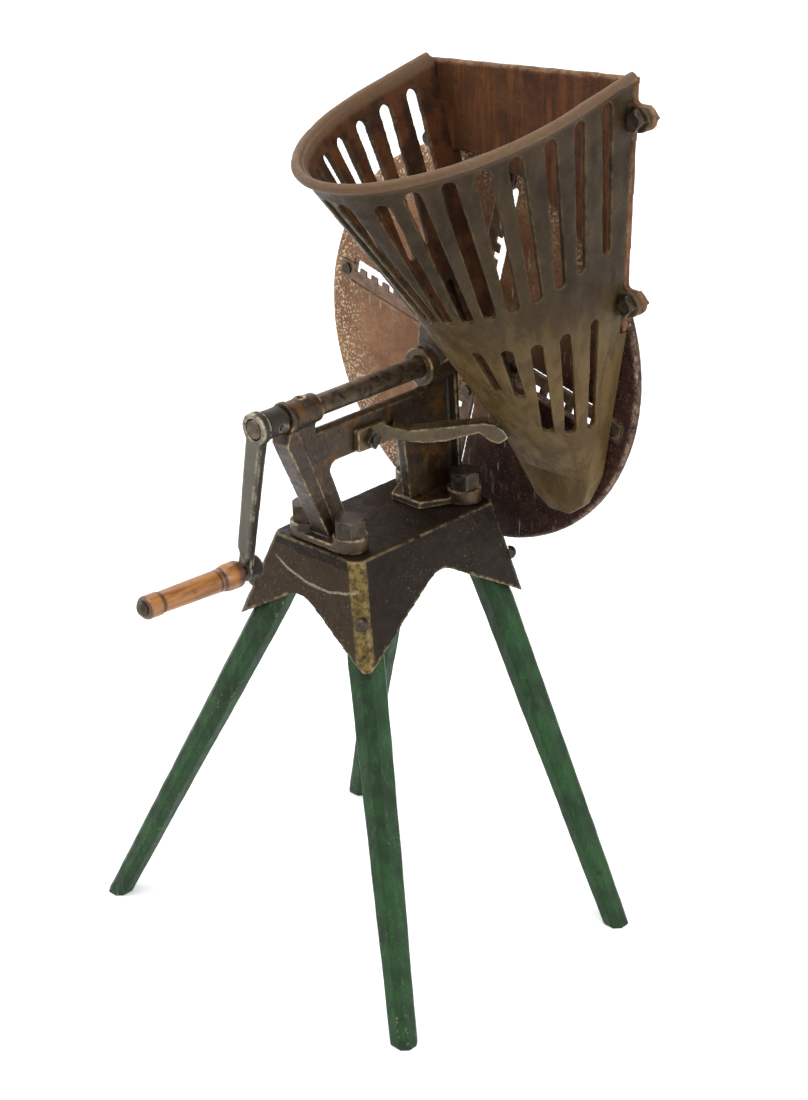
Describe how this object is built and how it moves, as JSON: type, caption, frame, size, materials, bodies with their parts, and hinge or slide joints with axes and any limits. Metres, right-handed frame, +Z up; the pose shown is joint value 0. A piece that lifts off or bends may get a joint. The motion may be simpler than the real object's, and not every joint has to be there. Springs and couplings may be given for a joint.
{
  "type": "rotary cabbage shredder",
  "caption": "Hand cranked rotary shredder: a disc with toothed knives turns behind a slotted half-cone hopper on a splayed four-legged stand.",
  "frame": {"origin": "floor under the middle of the machine's overall footprint", "axes": "+Z up; +Y along the shaft from the crank towards the cutter disc; +X towards the hopper's side"},
  "size_m": [0.181, 0.1868, 0.3441],
  "materials": {
    "shell_iron": "dark olive bronze, worn japanned finish",
    "plate_iron": "rust brown with pale worn specks",
    "disc_iron": "rust brown, darker and redder low down",
    "base_iron": "dark brown olive with brassy worn corners",
    "frame_iron": "dark, edges worn bright",
    "shaft_steel": "darkened steel",
    "knife_steel": "stained blade steel",
    "bolt_steel": "dark steel",
    "crank_iron": "dark, edges worn bright",
    "grip_wood": "varnished golden orange",
    "leg_wood": "worn green paint over wood"
  },
  "bodies": {
    "stand": {"base_casting": "base_iron", "leg_front_right": "leg_wood", "leg_front_left": "leg_wood", "leg_back_right": "leg_wood", "leg_back_left": "leg_wood", "leg_screws": "bolt_steel", "frame_casting": "frame_iron", "frame_bolts": "bolt_steel", "frame_square_bolt": "bolt_steel", "frame_nuts": "bolt_steel", "support_arm": "frame_iron", "arm_bolt": "bolt_steel", "arm_nut": "bolt_steel", "hopper_shell": "shell_iron", "hopper_back_plate": "plate_iron", "hopper_bolts": "bolt_steel", "hopper_nuts": "bolt_steel", "horn_bolt": "bolt_steel"},
    "rotor": {"shaft": "shaft_steel", "cutter_disc": "disc_iron", "knife_1": "knife_steel", "knife_2": "knife_steel", "knife_3": "knife_steel", "knife_4": "knife_steel", "knife_screws": "bolt_steel", "disc_washer": "bolt_steel", "disc_nut": "bolt_steel", "crank_arm": "crank_iron", "crank_hub_pin": "bolt_steel", "handle_pin": "bolt_steel"},
    "grip": {"handle_grip": "grip_wood"}
  },
  "joints": [
    {"name": "crank_spin", "type": "hinge", "parent": "stand", "child": "rotor", "pos_m": [0.0023, 0.01405, 0.227], "axis": [0, 1, 0], "continuous": true},
    {"name": "handle_spin", "type": "hinge", "parent": "rotor", "child": "grip", "pos_m": [-0.01038, -0.04595, 0.16733], "axis": [-0.0131, 0.998, -0.0614], "continuous": true}
  ]
}
